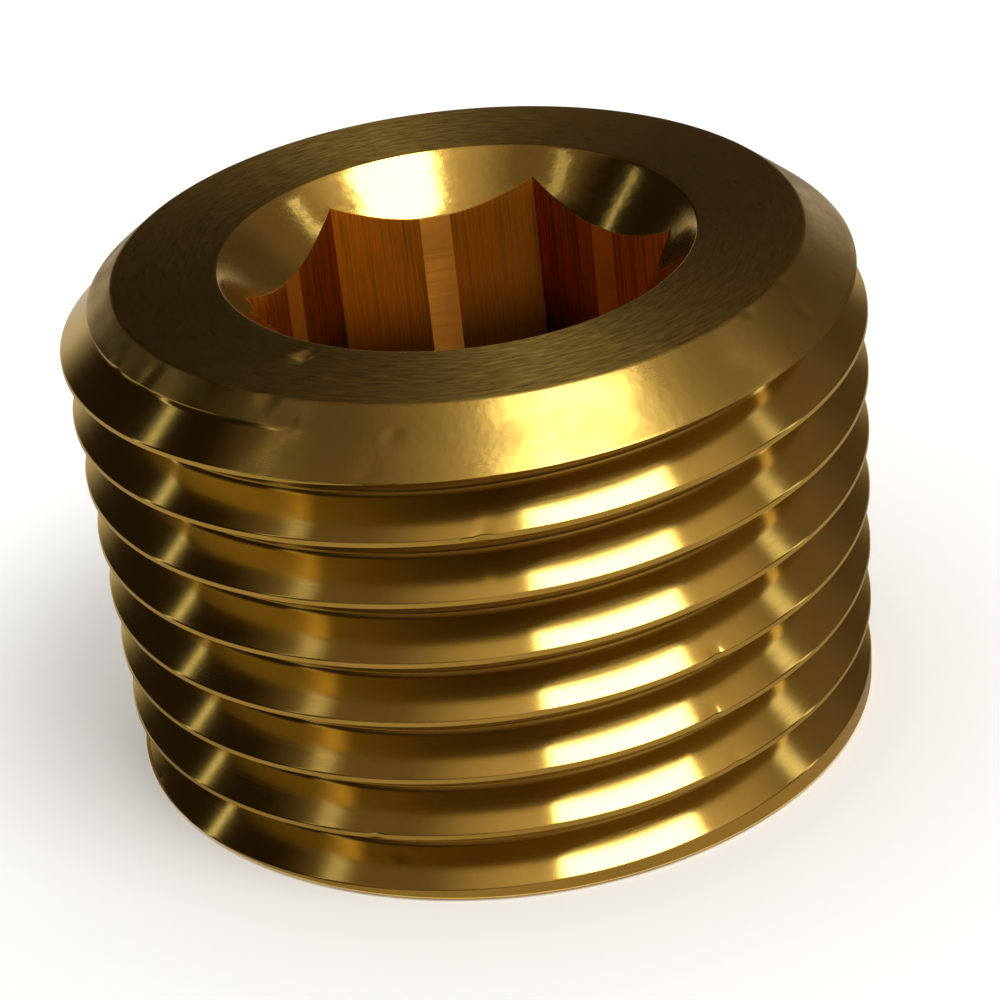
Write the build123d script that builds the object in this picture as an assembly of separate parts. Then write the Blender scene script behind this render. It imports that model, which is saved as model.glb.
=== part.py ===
from build123d import *
import math
import os

# Tapered pipe plug turned from brass bar: outside thread, hexagon socket in the large end.
# Sizes in millimetres. The small end stands on the plane Z = 0 and the axis is Z.

# Body
LENGTH = 11.11
CREST_DIAMETER = 17.3
DIAMETER_TAPER = 1 / 16
TOP_FACE_DIAMETER = 14.72
CHAMFER_HEIGHT = 1.06
END_EDGE_BREAK = 0.1
BLANK_CLEARANCE = 0.5

# Thread, right hand: V form with narrow flats, and a plain land where it begins at the small end
PITCH = 25.4 / 18
FIRST_CREST_HEIGHT = 0.65
CREST_FLAT = 0.08
ROOT_FLAT = 0.05
FLANK_ANGLE = 37.0
LEAD_IN_FROM_TURN = -0.85
LEAD_IN_TO_TURN = -0.58
TURNS_UNDER_END = 2
STRETCHES_PER_TURN = 2
POINTS_PER_STRETCH = 6
TANGENT_STEP = 0.001

# Socket
HEX_SIDES = 6
HEX_ACROSS_FLATS = 7.94
HEX_DEPTH = 6.3
COUNTERSINK_DIAMETER = 10.24
COUNTERSINK_ANGLE = 90.0
PILOT_OVERSIZE = 0.03
PILOT_RUN_ON = 0.4
DRILL_POINT_ANGLE = 118.0

# Sizes that follow from those above
TAPER = DIAMETER_TAPER / 2
CREST_RADIUS = CREST_DIAMETER / 2
TOP_FACE_RADIUS = TOP_FACE_DIAMETER / 2
CHAMFER_FOOT = LENGTH - CHAMFER_HEIGHT
CHAMFER_SLOPE = CHAMFER_HEIGHT / (CREST_RADIUS - TOP_FACE_RADIUS)
END_RADIUS = CREST_RADIUS - TAPER * CHAMFER_FOOT
FLANK_HEIGHT = (PITCH - CREST_FLAT - ROOT_FLAT) / 2
THREAD_DEPTH = FLANK_HEIGHT / math.tan(math.radians(FLANK_ANGLE))
PILOT_RADIUS = (HEX_ACROSS_FLATS + PILOT_OVERSIZE) / 2
PILOT_FLOOR = LENGTH - HEX_DEPTH - PILOT_RUN_ON
DRILL_POINT_HEIGHT = PILOT_RADIUS / math.tan(math.radians(DRILL_POINT_ANGLE / 2))
COUNTERSINK_RADIUS = COUNTERSINK_DIAMETER / 2
COUNTERSINK_HEIGHT = COUNTERSINK_RADIUS / math.tan(math.radians(COUNTERSINK_ANGLE / 2))


def turned(points):
    """Solid of revolution about Z from (radius, height) points."""
    outline = Polyline([(radius, 0, height) for radius, height in points], close=True)
    return revolve(make_face(outline), Axis.Z)


def thread_outline():
    """One pitch of the thread as (depth under the crest, height over the middle of the crest)."""
    return [
        (0, CREST_FLAT / 2),
        (THREAD_DEPTH, CREST_FLAT / 2 + FLANK_HEIGHT),
        (THREAD_DEPTH, PITCH - CREST_FLAT / 2 - FLANK_HEIGHT),
        (0, PITCH - CREST_FLAT / 2),
        (0, PITCH + CREST_FLAT / 2),
    ]


def cut_share(turn):
    """Share of its full depth that the thread has: none on the land at the small end."""
    along = (turn - LEAD_IN_FROM_TURN) / (LEAD_IN_TO_TURN - LEAD_IN_FROM_TURN)
    return min(max(along, 0), 1)


def thread_point(turn, depth, offset):
    """Point of the thread's outline after a number of turns from the first crest over +X."""
    height = FIRST_CREST_HEIGHT + PITCH * turn + offset
    radius = END_RADIUS + TAPER * height - depth * cut_share(turn)
    angle = math.tau * turn
    return Vector(radius * math.cos(angle), radius * math.sin(angle), height)


def axis_point(turn, offset):
    """Point on the axis level with a point of the thread's outline."""
    return Vector(0, 0, FIRST_CREST_HEIGHT + PITCH * turn + offset)


def rail(turns, depth, offset):
    """Curve that one corner of the thread's outline follows over a stretch of the thread."""
    points = [thread_point(turn, depth, offset) for turn in turns]
    length = turns[-1] - turns[0]
    shares = [(turn - turns[0]) / length for turn in turns]
    ends = []
    for turn in (turns[0], turns[-1]):
        before = thread_point(turn - TANGENT_STEP, depth, offset)
        after = thread_point(turn + TANGENT_STEP, depth, offset)
        ends.append((after - before) * (length / (2 * TANGENT_STEP)))
    return Edge.make_spline(points, tangents=ends, parameters=shares, scale=False)


def ramp(turns, offset):
    """Screw-shaped end of the threaded bar over a stretch, from the axis to a crest."""
    inner = Edge.make_line(axis_point(turns[0], offset), axis_point(turns[-1], offset))
    return Face.make_surface_from_curves(inner, rail(turns, 0, offset))


def end_section(turn):
    """Flat end of the threaded bar, in a plane through the axis."""
    outline = [thread_point(turn, depth, offset) for depth, offset in thread_outline()]
    for step in range(STRETCHES_PER_TURN + 1):
        outline.append(axis_point(turn + 1 - step / STRETCHES_PER_TURN, CREST_FLAT / 2))
    return make_face(Polyline(outline, close=True)).face()


def threaded_bar():
    """Bar with the tapered thread along it, past both ends of the plug."""
    first_turn = -TURNS_UNDER_END
    last_turn = math.ceil(LENGTH / PITCH)
    stretches = (last_turn - first_turn) * STRETCHES_PER_TURN
    corners = thread_outline()
    faces = [end_section(first_turn), end_section(last_turn)]
    for stretch in range(stretches):
        start = first_turn + stretch / STRETCHES_PER_TURN
        steps = range(POINTS_PER_STRETCH + 1)
        turns = [start + step / (POINTS_PER_STRETCH * STRETCHES_PER_TURN) for step in steps]
        rails = [rail(turns, depth, offset) for depth, offset in corners]
        for lower, upper in zip(rails, rails[1:]):
            faces.append(Face.make_surface_from_curves(lower, upper))
        if stretch < STRETCHES_PER_TURN:
            faces.append(ramp(turns, CREST_FLAT / 2))
        if stretch >= stretches - STRETCHES_PER_TURN:
            faces.append(ramp(turns, PITCH + CREST_FLAT / 2))
    return Solid(Shell(faces))


def blank():
    """Chamfered blank, wider than the thread, with the broken edge of the small end."""
    foot_radius = CREST_RADIUS + BLANK_CLEARANCE
    return turned([
        (0, 0),
        (END_RADIUS - END_EDGE_BREAK, 0),
        (END_RADIUS + BLANK_CLEARANCE, END_EDGE_BREAK + BLANK_CLEARANCE),
        (foot_radius, CHAMFER_FOOT - BLANK_CLEARANCE * CHAMFER_SLOPE),
        (TOP_FACE_RADIUS, LENGTH),
        (0, LENGTH),
    ])


def socket():
    """Hexagon socket broached over a drilled hole, with a countersunk mouth."""
    hexagon = RegularPolygon(HEX_ACROSS_FLATS / 2, HEX_SIDES, major_radius=False)
    broached = extrude(Pos(0, 0, LENGTH - HEX_DEPTH) * hexagon, HEX_DEPTH)
    drilled = turned([
        (0, PILOT_FLOOR - DRILL_POINT_HEIGHT),
        (PILOT_RADIUS, PILOT_FLOOR),
        (PILOT_RADIUS, LENGTH),
        (0, LENGTH),
    ])
    mouth = turned([
        (0, LENGTH - COUNTERSINK_HEIGHT),
        (COUNTERSINK_RADIUS, LENGTH),
        (0, LENGTH),
    ])
    return broached + drilled + mouth


plug_body = (blank() & threaded_bar()) - socket()

os.makedirs("parts", exist_ok=True)
export_step(plug_body, "parts/plug_body.step")
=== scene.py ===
import math

import bpy
import numpy as np
from mathutils import Matrix, Vector


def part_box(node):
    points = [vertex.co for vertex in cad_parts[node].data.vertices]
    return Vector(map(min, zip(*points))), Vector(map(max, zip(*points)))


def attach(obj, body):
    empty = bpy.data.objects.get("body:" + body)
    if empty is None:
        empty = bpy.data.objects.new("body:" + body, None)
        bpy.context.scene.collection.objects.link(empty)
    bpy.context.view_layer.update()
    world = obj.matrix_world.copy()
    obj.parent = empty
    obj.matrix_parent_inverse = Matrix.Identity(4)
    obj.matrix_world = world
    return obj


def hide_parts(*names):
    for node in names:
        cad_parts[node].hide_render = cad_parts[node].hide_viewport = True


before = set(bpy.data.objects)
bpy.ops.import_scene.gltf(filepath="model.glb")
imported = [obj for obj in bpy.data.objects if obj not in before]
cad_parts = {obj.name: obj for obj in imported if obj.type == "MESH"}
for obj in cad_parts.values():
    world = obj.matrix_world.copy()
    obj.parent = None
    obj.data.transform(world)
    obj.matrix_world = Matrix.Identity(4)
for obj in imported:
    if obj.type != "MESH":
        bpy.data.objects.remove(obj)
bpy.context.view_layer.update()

bl_info = {
    "name": "Brass pipe plug",
    "version": (1, 0, 0),
    "blender": (4, 5, 0),
    "location": "View3D > Sidebar > Pipe plug",
    "description": "Builds the finished surface of a turned brass pipe plug and the stage it stands on",
    "category": "Object",
}

MM = 0.001
TAU = math.tau
PLUG_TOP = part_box("plug_body")[1].z

# Surface zones of the plug, in the order of its material slots
OUTSIDE, FACE, COUNTERSINK, FLAT, DRILLED = range(5)

# Surface map: the radius in millimetres at which its first direction is true, and about the length of a flank
# over its height
MAP_RADIUS = 8
FLANK_STRETCH = 1.6

# Painted shade: the gain that makes its share about one at the root of the thread, and the depths in the
# socket from which and over which it grows to one
ROOT_GAIN = 1.6
SHADE_FROM = 2.8 * MM
SHADE_OVER = 1.4 * MM

# Noise in the brass: spots about a fifth of a millimetre across, and patches of about a millimetre
SPOTS_PER_MM = 4.5
PATCHES_PER_MM = 0.9

# Inputs and output of a Mix node that take and give colours. Their names aren't unique, so they go by number
COLOUR_A, COLOUR_B, COLOUR_MIXED = 6, 7, 2

# Mesh edges that turn by more than this, in degrees, look crisp
CRISP_ANGLE = 35

# Stage, in metres. A hair is the hole at the middle of a round sheet and the gap between sheets
HAIR = 0.0001
FLOOR_RADIUS = 0.8
CARD_RADIUS = 0.026
TENT_RADIUS = 0.75
TENT_ARC = (1, 90)  # degrees over the floor
TENT_ROWS = 31
STAGE_COLUMNS = 96
LAMP_DISTANCE = 0.5
WORLD_STRENGTH = 0.85

# Camera, fitted to the thread's crests, the top face and the socket in the photograph: its azimuth and
# elevation from the top of the plug, and how it pans, tilts and rolls, all in degrees
CAMERA_DIRECTION = (-96.04, 24.368)
CAMERA_TURNS = (0.265, -4.679, -6.447)
CAMERA_DISTANCE = 68.009 * MM
SENSOR_WIDTH = 36

# Dents and nicks: angle in degrees, then radius, height, reach and depth in millimetres
MARKS = (
    (-65.4, 8.46, 4.61, 0.14, 0.06),
    (-66.3, 8.42, 3.19, 0.13, 0.05),
    (-63.0, 8.37, 1.79, 0.12, 0.03),
    (-117.1, 8.37, 1.57, 0.12, 0.07),
    (-96.9, 8.59, 8.72, 0.13, 0.06),
    (-123.9, 7.71, 10.82, 0.20, 0.05),
    (-128.3, 7.39, 11.08, 0.20, 0.05),
    (-161.1, 7.81, 10.74, 0.18, 0.05),
    (-152.7, 7.71, 10.82, 0.18, 0.05),
    (-110.9, 8.42, 10.24, 0.14, 0.03),
    (-107.8, 7.88, 10.69, 0.14, 0.03),
    (-37.4, 7.94, 10.63, 0.16, 0.04),
    (-35.5, 7.36, 11.10, 0.16, 0.04),
    (-46.7, 7.36, 11.10, 0.14, 0.04),
    (-131.5, 5.78, 11.11, 0.13, 0.13),
    (-131.1, 5.50, 11.11, 0.10, 0.08),
)


def linear(text):
    """Linear colour of an sRGB hex value."""
    values = np.array([int(text[i:i + 2], 16) for i in (1, 3, 5)]) / 255
    low = values / 12.92
    high = ((values + 0.055) / 1.055) ** 2.4
    return tuple(float(v) for v in np.where(values <= 0.04045, low, high))


def size(name, description, millimetres):
    """Length property that opens at a size in millimetres."""
    return bpy.props.FloatProperty(
        name=name, description=description, default=millimetres * MM, unit="LENGTH", precision=5)


def colour(name, description, text):
    """Colour property that opens at an sRGB hex value."""
    return bpy.props.FloatVectorProperty(
        name=name, description=description, default=linear(text), subtype="COLOR", min=0, max=1)


class PlugSizes(bpy.types.PropertyGroup):
    """Sizes of the plug."""

    length: size("Length", "Height of the plug over its small end", PLUG_TOP / MM)
    crest_diameter: size("Crest diameter", "Over the thread's crests at the foot of the chamfer", 17.3)
    top_face_diameter: size("Top face", "Diameter of the flat top face", 14.72)
    chamfer_height: size("Chamfer height", "Height of the chamfer under the top face", 1.06)
    end_break: size("End break", "Chamfer on the edge of the small end", 0.1)
    pitch: size("Pitch", "Rise of the thread in one turn", 25.4 / 18)
    first_crest: size("First crest", "Height of the lowest whole crest over the +X axis", 0.65)
    crest_flat: size("Crest flat", "Width of the flat on a crest", 0.08)
    root_flat: size("Root flat", "Width of the flat at the root of the thread", 0.05)
    hex_width: size("Hexagon", "Width of the socket across its flats", 7.94)
    hex_depth: size("Hexagon depth", "Depth of the broached flats under the top face", 6.3)
    countersink: size("Countersink", "Diameter of the countersink at the top face", 10.24)
    pilot_diameter: size("Drilled hole", "Diameter of the hole under the hexagon", 7.97)
    pilot_run_on: size("Drilled run-on", "Depth of the drilled wall under the flats", 0.4)
    taper: bpy.props.FloatProperty(
        name="Taper", description="Growth of the diameter with height", default=1 / 16)
    flank_angle: bpy.props.FloatProperty(
        name="Flank angle", description="Angle of a flank to the level", default=math.radians(37),
        subtype="ANGLE")
    drill_point: bpy.props.FloatProperty(
        name="Drill point", description="Angle of the drill's point", default=math.radians(118),
        subtype="ANGLE")


class PlugFinish(bpy.types.PropertyGroup):
    """Colours of the plug."""

    brass: colour("Brass", "Clean turned brass", "#F0CB69")
    tarnish: colour("Tarnish", "Brass with a thin film of oxide", "#CBAA55")
    # The socket's two colours are brass with the deep orange of light after many reflections in the socket
    # painted in
    broached: colour("Broached brass", "Brass of the socket's flats", "#E38C22")
    drilled: colour("Drilled brass", "Brass of the drilled strips between the broached parts", "#FBB044")
    # Dark brown of the socket's streaks and tarnish, and of the painted shade at the thread's root and deep
    # in the socket
    streak_and_shade_brown: colour("Streak and shade brown", "Brass under old oil, at the root of the thread and deep in the socket", "#4A2C0C")


class StageSettings(bpy.types.PropertyGroup):
    """Floor, light and camera."""

    floor: colour("Floor", "Pale floor", "#F7F6F3")
    dark_side: colour("Dark side", "Dim room on the plug's left", "#1E1710")
    light_side: colour("Light side", "Dim room on the plug's right", "#4D4137")
    horizon: colour("Horizon", "Low light over the table", "#C8C2BA")
    ceiling: colour("Ceiling", "Room round the main lamp", "#65574E")
    glow: colour("Glow", "Light that the main lamp throws on the room close to it", "#B8A792")
    table: colour("Table card", "Warm grey card that the plug's sides mirror", "#9A8C7A")
    lens: bpy.props.FloatProperty(name="Lens", description="Focal length in millimetres", default=115.232)


def ramp(x, softness):
    """Nought up to x = -softness, x itself from x = softness on, and a parabola between the two."""
    share = np.clip((x + softness) / (2 * softness), 0, 1)
    return softness * share ** 2 + np.maximum(x - softness, 0)


def soft_min(a, b, softness):
    """The lower of two values, with the corner where they meet rounded off."""
    return a - ramp(a - b, softness)


def clustered(start, end, count):
    """Values from start up to, but without, the end, on a cosine, so closer at both ends."""
    share = (1 - np.cos(np.pi * np.arange(count) / count)) / 2
    return start + (end - start) * share


class PlugShape:
    """Plug's surface as functions of angle and height, from the sizes in the sidebar."""

    # Grid: columns round the plug and across a drilled strip, rows in each part of the thread's outline from
    # root to root, and rings of the small end as shares of its radius
    columns = 396
    strip_columns = 10
    rows = (2, 1, 3, 1, 8, 1, 3, 1, 2)
    end_rings = (0, 0.3, 0.6, 0.85)

    # Wear of the crests, and how far each corner and edge is rounded
    crest_wear = 0.022 * MM
    corner_softness = 0.012 * MM
    root_softness = 0.05 * MM
    edge_softness = 0.012 * MM
    top_edge = 0.03 * MM
    mouth_edge = 0.03 * MM
    hex_edge = 0.025 * MM

    # Width of the rows beside a rounded corner, width of the step from the thread's finish to the chamfer's,
    # and slack in tests of place
    guard = 0.012 * MM
    crease = 0.04 * MM
    tolerance = 0.01 * MM

    # Turns from the first crest over +X between which the thread grows to its full depth
    lead_in_from = -0.85
    lead_in_to = -0.58

    def __init__(self, sizes):
        self.s = sizes
        self.slope = sizes.taper / 2
        self.end_radius = sizes.crest_diameter / 2 - self.slope * (sizes.length - sizes.chamfer_height)
        self.half_pitch = sizes.pitch / 2
        self.flank_height = (sizes.pitch - sizes.crest_flat - sizes.root_flat) / 2
        self.top_radius = sizes.top_face_diameter / 2
        self.chamfer_spread = (sizes.crest_diameter / 2 - self.top_radius) / sizes.chamfer_height

    def groove(self, offset):
        """Depth under the worn crests at a height from a crest's middle: nought on the crest's flat, then
        down the flank at its angle as far as the root, with both corners rounded."""
        along = np.maximum(np.abs(offset) - self.s.crest_flat / 2, 0)
        along = soft_min(along, self.flank_height, self.root_softness)
        return ramp(along / math.tan(self.s.flank_angle) - self.crest_wear, self.corner_softness)

    def thread(self, angle, height):
        """Radius of the thread: the tapered radius of the worn crests less the groove, which fades out
        over the first part of a turn at the small end."""
        phase = (height - self.s.first_crest) / self.s.pitch - angle / TAU
        offset = (phase - np.round(phase)) * self.s.pitch
        turn = angle / TAU + np.floor(phase)
        share = np.clip((turn - self.lead_in_from) / (self.lead_in_to - self.lead_in_from), 0, 1)
        return self.end_radius + self.slope * height - self.crest_wear - self.groove(offset) * share

    def limit(self, height):
        """Radius that the chamfer and the broken edge of the small end leave at a height."""
        chamfer = self.top_radius + (self.s.length - height) * self.chamfer_spread
        broken = self.end_radius - self.s.end_break + height
        return np.minimum(chamfer, broken)

    def side(self):
        """Angles, heights and radii of the threaded side on rows that climb with the thread. Where
        thread and chamfer meet in a column, the nearest row is moved to the meeting point."""
        s = self.s
        crest = s.crest_flat / 2 + (self.crest_wear + self.corner_softness) * math.tan(s.flank_angle)
        root = s.crest_flat / 2 + self.flank_height - self.root_softness
        over = [crest, crest + self.guard, root - self.guard, root, self.half_pitch]
        bounds = [-bound for bound in reversed(over)] + over
        offsets = np.concatenate([
            np.linspace(low, high, count, endpoint=False)
            for low, high, count in zip(bounds, bounds[1:], self.rows)])
        top = s.length - self.top_edge
        blocks = np.arange(-1, math.ceil(top / s.pitch) + 1)
        turns = np.arange(self.columns) / self.columns
        middles = s.first_crest + s.pitch * blocks[:, None] + offsets[None, :]
        height = np.clip(middles.reshape(-1, 1) + s.pitch * turns, 0, top)
        angle = np.broadcast_to(TAU * turns, height.shape)
        gap = self.thread(angle, height) - self.limit(height)
        crossing = (gap[:-1] * gap[1:] < 0) & (height[1:] > height[:-1])
        share = np.where(crossing, gap[:-1] / np.where(crossing, gap[:-1] - gap[1:], 1), 0)
        meeting = height[:-1] + share * (height[1:] - height[:-1])
        inner_low = height[:-1] > 0
        inner_high = height[1:] < top
        lower_moves = crossing & inner_low & ((share < 0.5) | ~inner_high)
        upper_moves = crossing & inner_high & ~lower_moves
        height = height.copy()
        snapped = np.zeros(height.shape, bool)
        height[:-1][lower_moves] = meeting[lower_moves]
        snapped[:-1] |= lower_moves
        height[1:][upper_moves] = meeting[upper_moves]
        snapped[1:] |= upper_moves
        radius = soft_min(self.thread(angle, height), self.limit(height), self.edge_softness)
        gap = self.thread(angle, height) - self.limit(height)
        run = np.broadcast_to(np.repeat(blocks, len(offsets))[:, None] + turns, height.shape)
        across = np.broadcast_to(np.tile(offsets, len(blocks))[:, None], height.shape)
        return angle, height, radius, snapped, gap, run, across, len(offsets)


def add(tree, kind, inputs=(), **settings):
    """Adds a node, sets its properties, and fills its inputs with values or other nodes' outputs."""
    made = tree.nodes.new(kind)
    for name, value in settings.items():
        setattr(made, name, value)
    for name, value in dict(inputs).items():
        if isinstance(value, bpy.types.NodeSocket):
            tree.links.new(value, made.inputs[name])
        else:
            made.inputs[name].default_value = value
    return made


def rounded(before, corner, after, reach, count):
    """Points round a corner between two lines of (radius, height): a quadratic arc between the two
    points at the reach from the corner."""
    first = corner + (before - corner) * (reach / np.linalg.norm(before - corner, axis=0))
    last = corner + (after - corner) * (reach / np.linalg.norm(after - corner, axis=0))
    t = np.linspace(0, 1, count)[:, None, None]
    return (1 - t) ** 2 * first + 2 * t * (1 - t) * corner + t ** 2 * last


def mixed(first, last, count):
    """Points strictly between two ends, evenly spaced."""
    t = np.linspace(0, 1, count + 2)[1:-1, None, None]
    return first + (last - first) * t


def socket_angles(shape):
    """Angles of the columns in the socket: closer at the hexagon's corners, with a column at each
    edge of the drilled strips in the middle of the flats."""
    s = shape.s
    sixth = shape.columns // 6
    half_strip = math.acos(s.hex_width / s.pilot_diameter)
    flat = (sixth - shape.strip_columns) // 2
    corner_to_strip = clustered(0, TAU / 12 - half_strip, flat)
    across_strip = np.linspace(
        TAU / 12 - half_strip, TAU / 12 + half_strip, shape.strip_columns, endpoint=False)
    strip_to_corner = clustered(TAU / 12 + half_strip, TAU / 6, flat)
    one_sixth = np.concatenate([corner_to_strip, across_strip, strip_to_corner])
    return (one_sixth[None, :] + TAU / 6 * np.arange(6)[:, None]).ravel()


def plug_surface(sizes):
    """Whole surface of the plug on one grid. Rows run from the middle of the small end, out and up
    the thread, over the chamfer and top face, and down the socket to the drill's point."""
    shape = PlugShape(sizes)
    s = sizes
    angle, height, radius, snapped, gap, run, across, per_pitch = shape.side()
    columns = shape.columns
    even = TAU * np.arange(columns) / columns
    close = socket_angles(shape)

    # Small end, from its middle to the loop where the thread begins
    end_radius = np.array(shape.end_rings)[:, None] * radius[0]

    # Top face and socket as corners of (radius, height), one column each. The wall is the hexagon's flat, or
    # the drilled hole where that is wider, and the countersink slopes at 45 degrees down to it
    wall = np.maximum(s.hex_width / 2 / np.cos((close % (TAU / 6)) - TAU / 12), s.pilot_diameter / 2)
    one = np.ones(columns)
    floor = s.length - s.hex_depth
    drilled = floor - s.pilot_run_on
    point = drilled - s.pilot_diameter / 2 / math.tan(s.drill_point / 2)
    chamfer_foot = np.array([(s.crest_diameter / 2) * one, (s.length - s.chamfer_height) * one])
    rim = np.array([shape.top_radius * one, s.length * one])
    mouth = np.array([s.countersink / 2 * one, s.length * one])
    edge = np.array([wall, s.length - (s.countersink / 2 - wall)])
    ledge = np.array([wall, floor * one])
    hole = np.array([s.pilot_diameter / 2 * one, floor * one])
    bottom = np.array([s.pilot_diameter / 2 * one, drilled * one])
    tip = np.array([0 * one, point * one])
    rim_reach = shape.top_edge * math.hypot(1, shape.chamfer_spread)
    rim_arc = rounded(chamfer_foot, rim, mouth, rim_reach, count=5)
    mouth_arc = rounded(rim, mouth, edge, shape.mouth_edge, count=4)
    edge_arc = rounded(mouth, edge, ledge, shape.hex_edge, count=4)
    face_rows = mixed(rim_arc[-1], mouth_arc[0], count=10)
    sink_rows = mixed(mouth_arc[-1], edge_arc[0], count=4)
    wall_rows = mixed(edge_arc[-1], ledge, count=14)
    parts = [
        (OUTSIDE, rim_arc[1:3]), (FACE, rim_arc[3:]), (FACE, face_rows), (FACE, mouth_arc[:2]),
        (COUNTERSINK, mouth_arc[2:]), (COUNTERSINK, sink_rows), (COUNTERSINK, edge_arc[:2]),
        (FLAT, edge_arc[2:]), (FLAT, wall_rows), (FLAT, ledge[None]), (DRILLED, hole[None]),
        (DRILLED, mixed(hole, bottom, count=2)), (DRILLED, bottom[None]),
        (DRILLED, mixed(bottom, tip, count=4)), (DRILLED, tip[None]),
    ]
    inner = np.concatenate([rows for _, rows in parts])
    inner_zone = np.concatenate([np.full(len(rows), zone) for zone, rows in parts])
    # Columns turn from the even ones to the socket's across the top face
    turned = np.clip((shape.top_radius - inner[:, 0]) / (shape.top_radius - s.countersink / 2), 0, 1)
    under_face = inner[:, 1] < s.length - shape.tolerance
    in_mouth = inner[:, 0] < s.countersink / 2 + shape.tolerance
    turned = np.where(under_face & in_mouth, 1, turned)
    inner_angle = even + (close - even) * turned

    all_angle = np.concatenate([np.broadcast_to(even, end_radius.shape), angle, inner_angle])
    all_radius = np.concatenate([end_radius, radius, inner[:, 0]])
    all_height = np.concatenate([0 * end_radius, height, inner[:, 1]])
    ends = len(end_radius)
    sides = len(radius)

    def closed(values):
        """Adds the column that closes the turn: row for row on the flat rows, and one pitch of rows
        further up on the threaded side."""
        last = values[:, :1].copy()
        side = values[ends:ends + sides, :1]
        last[ends:ends + sides] = np.concatenate([side[per_pitch:], np.repeat(side[-1:], per_pitch, 0)])
        return np.concatenate([values, last], 1)

    x = closed(all_radius * np.cos(all_angle))
    y = closed(all_radius * np.sin(all_angle))
    z = closed(all_height)
    flags = np.zeros(all_radius.shape, bool)
    flags[ends:ends + sides] = snapped
    flags = closed(flags.astype(float)) > 0
    # Share of the chamfer's finish, from the thread's (nought) to the chamfer's (one) over the crease
    chamfer = np.zeros(all_radius.shape)
    chamfer[ends:ends + sides] = np.clip(0.5 + gap / shape.crease, 0, 1) * (height > s.length / 2)
    chamfer[ends + sides:][inner_zone == OUTSIDE] = 1
    chamfer = closed(chamfer).ravel()

    # Map over the surface in millimetres: along the turning and across it
    ring = np.concatenate([all_angle, all_angle[:, :1] + TAU], 1) * MAP_RADIUS
    steps = np.hypot(np.diff(all_radius, axis=0), np.diff(all_height, axis=0)) / MM
    down = np.concatenate([np.zeros((1, columns)), np.cumsum(steps, 0)])
    down = np.concatenate([down, down[:, :1]], 1)
    spiral = np.concatenate([run, run[:, :1] + 1], 1) * TAU * MAP_RADIUS
    profile = np.concatenate([across, across[:, :1]], 1) / MM * FLANK_STRETCH

    zone = np.concatenate([np.full(ends, FACE), np.full(sides, OUTSIDE), inner_zone])
    rows, columns_closed = x.shape
    index = np.arange(rows * columns_closed).reshape(x.shape)
    corners = np.stack([index[:-1, :-1], index[:-1, 1:], index[1:, 1:], index[1:, :-1]], -1)
    quad_zone = np.broadcast_to(zone[1:, None], corners.shape[:2]).copy()
    # A drilled strip lies between columns where the hole gives the wall
    in_strip = np.isclose(wall, s.pilot_diameter / 2, rtol=1e-9, atol=0)
    in_strip = in_strip & np.roll(in_strip, -1)
    quad_zone[(quad_zone == FLAT) & in_strip[None, :]] = DRILLED
    helical = np.zeros(quad_zone.shape, bool)
    helical[ends:ends + sides - 1] = True

    # Each quad is cut in two, along the thread's meeting with the chamfer where that crosses it
    across_diagonal = flags.ravel()[corners[..., 1]] & flags.ravel()[corners[..., 3]]
    first = np.where(across_diagonal[..., None], corners[..., [0, 1, 3]], corners[..., [0, 1, 2]])
    second = np.where(across_diagonal[..., None], corners[..., [1, 2, 3]], corners[..., [0, 2, 3]])
    triangles = np.stack([first, second], 2).reshape(-1, 3)
    tri_zone = np.repeat(quad_zone.ravel(), 2)
    tri_helical = np.repeat(helical.ravel(), 2)

    # Points that agree to a nanometre become one, which closes the seam and the poles
    points = np.stack([x, y, z], -1).reshape(-1, 3).round(9) + 0.0
    kept, source, place = np.unique(points, axis=0, return_index=True, return_inverse=True)
    place = place.ravel()
    merged = place[triangles]
    # Triangles that the merging has left with two corners in one point are dropped
    real = (merged != np.roll(merged, -1, 1)).all(1)
    plain_map = np.stack([ring, down], -1).reshape(-1, 2)
    thread_map = plain_map.copy().reshape(rows, columns_closed, 2)
    thread_map[ends:ends + sides] = np.stack([spiral, profile], -1)
    thread_map = thread_map.reshape(-1, 2)
    triangles, merged = triangles[real], merged[real]
    tri_zone, tri_helical = tri_zone[real], tri_helical[real]
    uv = np.where(tri_helical[:, None, None], thread_map[triangles], plain_map[triangles])
    # Painted shade, darker toward the root of the thread and deeper in the socket, where shade falls
    outward = np.hypot(kept[:, 0], kept[:, 1])
    groove = (shape.end_radius + shape.slope * kept[:, 2] - outward) / s.pitch * ROOT_GAIN
    hollow = (s.length - kept[:, 2] - SHADE_FROM) / SHADE_OVER
    painted_shade = np.clip(np.where(outward < s.countersink / 2, hollow, groove), 0, 1)
    values = {"painted_shade_share": painted_shade, "chamfer_share": chamfer[source]}
    return dented(kept, s.length), merged, tri_zone, uv, values


def dented(points, length):
    """Points pressed in at the marks, each a bell curve of the distance from its middle: down on the top
    face and toward the axis elsewhere."""
    angle, radius, height, reach, depth = np.array(MARKS).T
    angle = np.radians(angle)
    across = np.stack([np.cos(angle), np.sin(angle), 0 * angle], 1)
    up = np.array([0, 0, 1.0])
    middles = radius[:, None] * MM * across + height[:, None] * MM * up
    slack = 0.001 * MM
    facing = np.where(height[:, None] * MM >= length - slack, up, across)
    apart = np.linalg.norm(points[:, None] - middles, axis=2) / (reach * MM)
    return points - (depth * MM * np.exp(-apart ** 2)) @ facing


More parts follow.
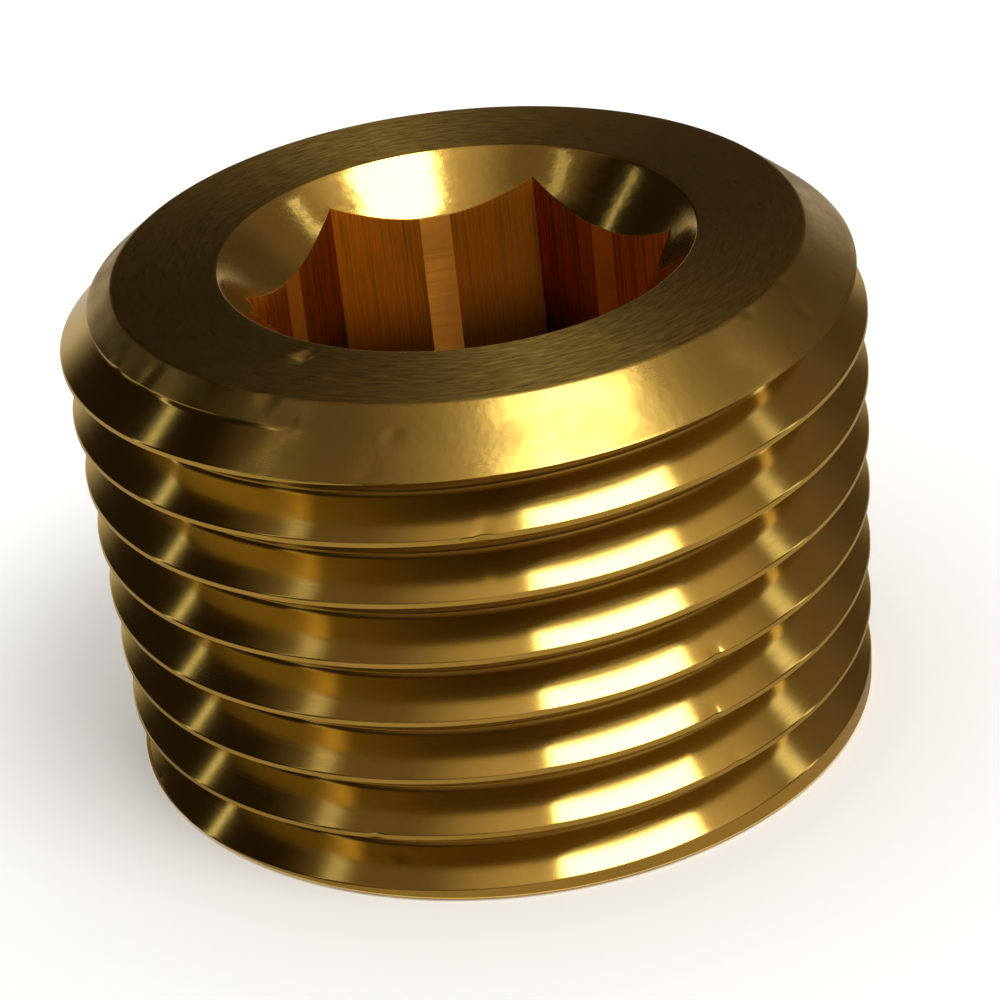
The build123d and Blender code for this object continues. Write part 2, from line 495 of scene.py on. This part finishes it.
def mesh_piece(name, points, faces, zones, uv, values, materials):
    """Object at the origin whose mesh holds the points and triangles, smooth up to its crisp corners, with
    its map in mm and its values by point."""
    mesh = bpy.data.meshes.new(name)
    mesh.from_pydata(points.tolist(), [], faces.tolist())
    for material in materials:
        mesh.materials.append(material)
    mesh.polygons.foreach_set("material_index", zones.astype(np.int32))
    mesh.polygons.foreach_set("use_smooth", np.ones(len(faces), bool))
    layer = mesh.uv_layers.new(name="surface_mm")
    layer.data.foreach_set("uv", uv.astype(np.float32).ravel())
    for label, numbers in values.items():
        mesh.attributes.new(label, "FLOAT", "POINT").data.foreach_set("value", numbers.astype(np.float32))
    mesh.set_sharp_from_angle(angle=math.radians(CRISP_ANGLE))
    mesh.update()
    piece = bpy.data.objects.new(name, mesh)
    bpy.context.scene.collection.objects.link(piece)
    return piece


def metal(name, finish, rough, spread, lines, depth=0.0, spots=0.0, film=(0.0, 0.25), anisotropy=0.0,
          painted_shade=0.0, worn=None, clean=None, filmed=None, upright=False):
    """Brass with tool lines and uneven spots. The lines are noise drawn out to two sizes on the surface map,
    round the plug and across that. Those sizes, and the depths of lines and spots, are in millimetres.
    Roughness lies within the spread of its middle value and follows the lines. The film is the least and the
    most tarnish, by patches or by upright lines, and the painted-shade argument is the most painted shade,
    darker toward the thread's root and down the socket. On the chamfer, the worn values add the least and the
    most roughness of its hazy patches, and then film and spots. Clean and filmed are the colours without and
    with the film, if they aren't those of brass and tarnish."""
    material = bpy.data.materials.new(name)
    material.use_nodes = True
    tree = material.node_tree
    tree.nodes.clear()
    place = add(tree, "ShaderNodeTexCoord")
    stretched = add(tree, "ShaderNodeMapping", {
        "Vector": place.outputs["UV"], "Scale": (1 / lines[0], 1 / lines[1], 1)})
    marks = add(tree, "ShaderNodeTexNoise", {
        "Vector": stretched.outputs[0], "Scale": 1.0, "Detail": 3.0, "Roughness": 0.6}).outputs["Fac"]
    uneven = add(tree, "ShaderNodeTexNoise", {
        "Vector": place.outputs["Object"], "Scale": SPOTS_PER_MM / MM, "Detail": 4.0}).outputs["Fac"]
    patches = add(tree, "ShaderNodeTexNoise", {
        "Vector": place.outputs["Object"], "Scale": PATCHES_PER_MM / MM, "Detail": 5.0}).outputs["Fac"]
    # Noise lies mostly between 0.3 and 0.7, so each range below takes the whole or a part of that
    level = add(tree, "ShaderNodeMapRange", {
        "Value": marks, "From Min": 0.3, "From Max": 0.7,
        "To Min": rough - spread, "To Max": rough + spread}).outputs[0]
    tarnish = add(tree, "ShaderNodeMapRange", {
        "Value": marks if upright else patches, "From Min": 0.4, "From Max": 0.7,
        "To Min": film[0], "To Max": film[1]}).outputs[0]
    pressed = spots
    if worn:
        least_haze, most_haze, more_film, more_spots = worn
        share = add(tree, "ShaderNodeAttribute", attribute_name="chamfer_share").outputs["Fac"]
        haze = add(tree, "ShaderNodeMapRange", {
            "Value": patches, "From Min": 0.38, "From Max": 0.62,
            "To Min": least_haze, "To Max": most_haze}).outputs[0]
        level, tarnish, pressed = [
            add(tree, "ShaderNodeMath", {0: share, 1: more, 2: value}, operation="MULTIPLY_ADD").outputs[0]
            for more, value in ((haze, level), (more_film, tarnish), (more_spots, spots))]
    shade = add(tree, "ShaderNodeMix", {
        "Factor": tarnish, COLOUR_A: (*(clean or finish.brass), 1),
        COLOUR_B: (*(filmed or finish.tarnish), 1)}, data_type="RGBA").outputs[COLOUR_MIXED]
    # Painted shade: toward the brown where the thread's root and the socket's depths lie in shade
    if painted_shade:
        shaded = add(tree, "ShaderNodeAttribute", attribute_name="painted_shade_share").outputs["Fac"]
        darkened = add(tree, "ShaderNodeMath", {0: shaded, 1: painted_shade}, operation="MULTIPLY").outputs[0]
        shade = add(tree, "ShaderNodeMix", {
            "Factor": darkened, COLOUR_A: shade, COLOUR_B: (*finish.streak_and_shade_brown, 1)},
            data_type="RGBA").outputs[COLOUR_MIXED]
    pits = add(tree, "ShaderNodeMath", {0: uneven, 1: pressed}, operation="MULTIPLY").outputs[0]
    height = add(tree, "ShaderNodeMath", {0: marks, 1: depth, 2: pits}, operation="MULTIPLY_ADD").outputs[0]
    bump = add(tree, "ShaderNodeBump", {"Height": height, "Distance": MM, "Strength": 1.0})
    # A quarter turn from the tangent round the axis spreads the shine across the lines that run that way
    around = add(tree, "ShaderNodeTangent", direction_type="RADIAL", axis="Z")
    shader = add(tree, "ShaderNodeBsdfPrincipled", {
        "Base Color": shade, "Metallic": 1.0, "Roughness": level, "Normal": bump.outputs[0],
        "Tangent": around.outputs[0], "Anisotropic": anisotropy, "Anisotropic Rotation": 0.25})
    add(tree, "ShaderNodeOutputMaterial", {"Surface": shader.outputs[0]})
    return material


class PLUG_OT_body(bpy.types.Operator):
    """Builds the plug's finished surface in place of the plain solid"""

    bl_idname = "plug.body"
    bl_label = "Plug body"

    def execute(self, context):
        sizes = context.scene.plug_sizes
        finish = context.scene.plug_finish
        points, faces, zones, uv, values = plug_surface(sizes)
        # Many real tool lines are too fine to show in the render, so they are drawn coarse enough to show
        materials = [
            # Brass turned and threaded on a lathe: a bright mirror that draws each light out into a streak
            # across long fine lines. The chamfer is worn, so hazy in patches and more tarnished, and a little
            # painted shade darkens the root of the thread
            metal("brass_outside_turned", finish, rough=0.14, spread=0.02, lines=(6, 0.05), spots=0.0002,
                  anisotropy=0.8, painted_shade=0.1, worn=(0.14, 0.25, 0.45, 0.003)),
            # Brass faced off on a lathe: duller than the thread, with short broken lines and a soft grain
            metal("brass_face_turned", finish, rough=0.33, spread=0.06, lines=(0.6, 0.08), depth=0.0008,
                  spots=0.002, anisotropy=0.75),
            # Brass cut by a countersink: bright, with highlights whose edges are slightly grainy
            metal("brass_countersunk", finish, rough=0.14, spread=0.03, lines=(0.6, 0.1), depth=0.0005,
                  spots=0.0025),
            # Brass cut by a broach: matt flats with upright lines, light and dark by turns. Their deep orange
            # is partly the colour of light after many reflections in the socket, painted in, and painted
            # shade darkens them downward
            metal("brass_broached_reflections_painted", finish, rough=0.46, spread=0.1, lines=(0.16, 4), depth=0.008,
                  film=(0.0, 0.7), anisotropy=0.8, painted_shade=0.9, clean=finish.broached, filmed=finish.streak_and_shade_brown,
                  upright=True),
            # Brass left by the drill: paler than the flats, with lines round the hole. Its orange is partly
            # painted reflection colour, and painted shade darkens it downward
            metal("brass_drilled_reflections_painted", finish, rough=0.58, spread=0.08, lines=(3, 0.1), depth=0.004,
                  film=(0.0, 0.2), anisotropy=0.8, painted_shade=0.3, clean=finish.drilled, filmed=finish.streak_and_shade_brown),
        ]
        piece = mesh_piece("pipe_plug_body", points, faces, zones, uv, values, materials)
        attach(piece, "root")
        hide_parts("plug_body")
        return {"FINISHED"}


def direction(azimuth, elevation):
    """Unit vector toward an azimuth, counted from +X, and an elevation, both in degrees."""
    a, e = math.radians(azimuth), math.radians(elevation)
    return Vector((math.cos(a) * math.cos(e), math.sin(a) * math.cos(e), math.sin(e)))


def lamp(name, azimuth, elevation, width, height, radiance):
    """Soft oval lamp that faces the top of the plug from a direction. Its width and height are the angles
    that it fills, in degrees, and its power is the radiance times pi times its area."""
    towards = direction(azimuth, elevation)
    data = bpy.data.lights.new(name, "AREA")
    data.shape = "ELLIPSE"
    data.size = 2 * LAMP_DISTANCE * math.tan(math.radians(width / 2))
    data.size_y = 2 * LAMP_DISTANCE * math.tan(math.radians(height / 2))
    data.energy = radiance * math.pi * (math.pi / 4 * data.size * data.size_y)
    made = bpy.data.objects.new(name, data)
    made.location = towards * LAMP_DISTANCE + Vector((0, 0, PLUG_TOP))
    made.rotation_mode = "QUATERNION"
    made.rotation_quaternion = towards.to_track_quat("Z", "Y")
    bpy.context.scene.collection.objects.link(made)


def strip_lamp(name, upper, lower, width, radiance):
    """Long strip lamp between two directions, each an azimuth and an elevation in degrees. Its width is the
    angle that it fills, in degrees, and its power is the radiance times pi times its area."""
    high, low = LAMP_DISTANCE * direction(*upper), LAMP_DISTANCE * direction(*lower)
    middle = (high + low) / 2
    along = (high - low).normalized()
    facing = (middle - along * middle.dot(along)).normalized()
    data = bpy.data.lights.new(name, "AREA")
    data.shape = "RECTANGLE"
    data.size = 2 * middle.length * math.tan(math.radians(width / 2))
    data.size_y = (high - low).length
    data.energy = radiance * math.pi * data.size * data.size_y
    made = bpy.data.objects.new(name, data)
    turn = Matrix((along.cross(facing), along, facing)).transposed().to_4x4()
    made.matrix_world = Matrix.Translation(middle + Vector((0, 0, PLUG_TOP))) @ turn
    bpy.context.scene.collection.objects.link(made)


def revolved(name, radii, heights, material):
    """Stage piece: a profile of radii and heights carried round the plug's axis."""
    turns = np.linspace(0, TAU, STAGE_COLUMNS, endpoint=False)
    radii, heights = np.array(radii), np.array(heights)
    points = np.stack([
        radii[:, None] * np.cos(turns), radii[:, None] * np.sin(turns),
        np.broadcast_to(heights[:, None], (len(radii), len(turns)))], -1).reshape(-1, 3)
    index = np.arange(len(points)).reshape(len(radii), len(turns))
    after = np.roll(index, -1, 1)
    quads = np.stack([index[:-1], index[1:], after[1:], after[:-1]], -1).reshape(-1, 4)
    mesh = bpy.data.meshes.new(name)
    mesh.from_pydata(points.tolist(), [], quads.tolist())
    mesh.polygons.foreach_set("use_smooth", np.ones(len(mesh.polygons), bool))
    mesh.materials.append(material)
    made = bpy.data.objects.new(name, mesh)
    bpy.context.scene.collection.objects.link(made)
    return made


def matt(name, shade):
    """Painted card of one colour: no shine, so it gives the eye only its colour and the shadows on it."""
    material = bpy.data.materials.new(name)
    material.use_nodes = True
    tree = material.node_tree
    tree.nodes.clear()
    shader = add(tree, "ShaderNodeBsdfPrincipled", {
        "Base Color": (*shade, 1), "Roughness": 0.9, "Specular IOR Level": 0.0})
    add(tree, "ShaderNodeOutputMaterial", {"Surface": shader.outputs[0]})
    return material


def room_light(settings):
    """Dim room as the plug's metal mirrors it: a light of its own whose colour goes by direction. From its
    dark side it turns to each layer's colour as the angle to that layer's middle shrinks, and near the table
    to the horizon's, most of all behind the plug."""
    material = bpy.data.materials.new("room_dim")
    material.use_nodes = True
    tree = material.node_tree
    tree.nodes.clear()
    place = add(tree, "ShaderNodeTexCoord")
    unit = add(tree, "ShaderNodeVectorMath", {0: place.outputs["Object"]}, operation="NORMALIZE").outputs[0]
    level = add(tree, "ShaderNodeSeparateXYZ", {0: unit}).outputs["Z"]

    # Middle of each layer as azimuth and elevation, the angles where it begins and is full, and its colour
    layers = (
        ((15, 12), 69.513, 25.842, settings.light_side),
        ((-53, 63), 70, 54, settings.ceiling),
        ((-53, 63), 42, 15, settings.glow),
    )
    shade = (*settings.dark_side, 1)
    for middle, begins, full, tint in layers:
        toward = add(tree, "ShaderNodeVectorMath", {0: unit, 1: direction(*middle)}, operation="DOT_PRODUCT")
        share = add(tree, "ShaderNodeMapRange", {
            "Value": toward.outputs["Value"], "From Min": math.cos(math.radians(begins)),
            "From Max": math.cos(math.radians(full))}, interpolation_type="SMOOTHSTEP").outputs[0]
        shade = add(tree, "ShaderNodeMix", {
            "Factor": share, COLOUR_A: shade, COLOUR_B: (*tint, 1)}, data_type="RGBA").outputs[COLOUR_MIXED]

    # The horizon's share is the product of two powers: how low toward the table, and how far behind the plug,
    # each with the values where it begins and is full
    behind = add(tree, "ShaderNodeVectorMath", {0: unit, 1: direction(115, 0)}, operation="DOT_PRODUCT")
    low_light = 1.0
    for value, begins, full, power in (
            (level, math.sin(math.radians(15)), math.sin(math.radians(-1)), 1.5),
            (behind.outputs["Value"], -1.2, 1.0, 1.3)):
        share = add(tree, "ShaderNodeMapRange", {
            "Value": value, "From Min": begins, "From Max": full},
            interpolation_type="SMOOTHSTEP").outputs[0]
        steep = add(tree, "ShaderNodeMath", {0: share, 1: power}, operation="POWER").outputs[0]
        low_light = add(tree, "ShaderNodeMath", {0: steep, 1: low_light}, operation="MULTIPLY").outputs[0]
    shade = add(tree, "ShaderNodeMix", {
        "Factor": low_light, COLOUR_A: shade, COLOUR_B: (*settings.horizon, 1)},
        data_type="RGBA").outputs[COLOUR_MIXED]
    light = add(tree, "ShaderNodeEmission", {"Color": shade, "Strength": 1.0})
    add(tree, "ShaderNodeOutputMaterial", {"Surface": light.outputs[0]})
    return material


def photo_camera(lens):
    """Camera at the photograph's angle: it faces the top of the plug from its direction, then pans and tilts
    by the tangents of those angles, and rolls about the line it looks along."""
    pan, tilt, roll = (math.radians(turn) for turn in CAMERA_TURNS)
    back = direction(*CAMERA_DIRECTION)
    side = (-back).cross(Vector((0, 0, 1))).normalized()
    up = side.cross(-back)
    forward = (-back + math.tan(pan) * side + math.tan(tilt) * up).normalized()
    side = forward.cross(up).normalized()
    up = side.cross(forward)
    x_axis = math.cos(roll) * side + math.sin(roll) * up
    y_axis = -math.sin(roll) * side + math.cos(roll) * up
    data = bpy.data.cameras.new("camera")
    data.lens = lens
    data.sensor_width = SENSOR_WIDTH
    data.clip_start = MM
    camera = bpy.data.objects.new("camera", data)
    turn = Matrix((x_axis, y_axis, -forward)).transposed().to_4x4()
    camera.matrix_world = Matrix.Translation(Vector((0, 0, PLUG_TOP)) + back * CAMERA_DISTANCE) @ turn
    bpy.context.scene.collection.objects.link(camera)
    return camera


class PLUG_OT_stage(bpy.types.Operator):
    """Builds the floor, the light and the camera"""

    bl_idname = "plug.stage"
    bl_label = "Stage"

    def execute(self, context):
        scene = context.scene
        settings = scene.plug_stage
        revolved("floor", [HAIR, FLOOR_RADIUS], [0, 0], matt("floor_pale", settings.floor))
        card = revolved(
            "table_card", [HAIR, CARD_RADIUS], [HAIR, HAIR], matt("card_warm_grey", settings.table))
        arc = np.radians(np.linspace(*TENT_ARC, TENT_ROWS))
        tent = revolved(
            "room_tent", np.append(CARD_RADIUS, TENT_RADIUS * np.cos(arc) + HAIR),
            np.append(HAIR, TENT_RADIUS * np.sin(arc)), room_light(settings))
        # The card and the tent show only in what the metal mirrors
        for mirrored in (card, tent):
            mirrored.visible_camera = mirrored.visible_diffuse = False
            mirrored.visible_shadow = mirrored.visible_transmission = False

        # Directions and widths in degrees. The streaks on the metal fall where the photograph has them
        lamp("lamp_main", -51, 64, width=29.5, height=27, radiance=6.5)
        strip_lamp("strip_left_high", (-181, 58), (-172, 40), width=4, radiance=0.5)
        strip_lamp("strip_left_low", (-162, 18), (-149, 1), width=6, radiance=0.6)
        strip_lamp("strip_right", (7, 45), (-6, 9), width=4, radiance=0.95)
        strip_lamp("strip_far_left", (144.5, 38), (162, 11), width=1.8, radiance=0.95)

        world = bpy.data.worlds.new("white_room")
        scene.world = world
        world.use_nodes = True
        tree = world.node_tree
        tree.nodes.clear()
        sky = add(tree, "ShaderNodeBackground", {"Color": (1, 1, 1, 1), "Strength": WORLD_STRENGTH})
        add(tree, "ShaderNodeOutputWorld", {"Surface": sky.outputs[0]})

        scene.camera = photo_camera(settings.lens)
        scene.view_settings.view_transform = "Standard"
        return {"FINISHED"}


class PLUG_PT_panel(bpy.types.Panel):
    """Sidebar panel with the plug's settings"""

    bl_label = "Pipe plug"
    bl_space_type = "VIEW_3D"
    bl_region_type = "UI"
    bl_category = "Pipe plug"

    def draw(self, context):
        for group in (context.scene.plug_sizes, context.scene.plug_finish, context.scene.plug_stage):
            for name in group.bl_rna.properties.keys():
                if name not in ("rna_type", "name"):
                    self.layout.prop(group, name)
        self.layout.operator("plug.body")
        self.layout.operator("plug.stage")


CLASSES = (PlugSizes, PlugFinish, StageSettings, PLUG_OT_body, PLUG_OT_stage, PLUG_PT_panel)


def register():
    """Makes the classes known to Blender and gives the scene its settings."""
    for kind in CLASSES:
        bpy.utils.register_class(kind)
    bpy.types.Scene.plug_sizes = bpy.props.PointerProperty(type=PlugSizes)
    bpy.types.Scene.plug_finish = bpy.props.PointerProperty(type=PlugFinish)
    bpy.types.Scene.plug_stage = bpy.props.PointerProperty(type=StageSettings)


def unregister():
    """Takes back what register did."""
    del bpy.types.Scene.plug_stage
    del bpy.types.Scene.plug_finish
    del bpy.types.Scene.plug_sizes
    for kind in reversed(CLASSES):
        bpy.utils.unregister_class(kind)


def main():
    """Builds the stage and the plug."""
    register()
    bpy.ops.plug.stage()
    bpy.ops.plug.body()


if __name__ == "__main__":
    main()
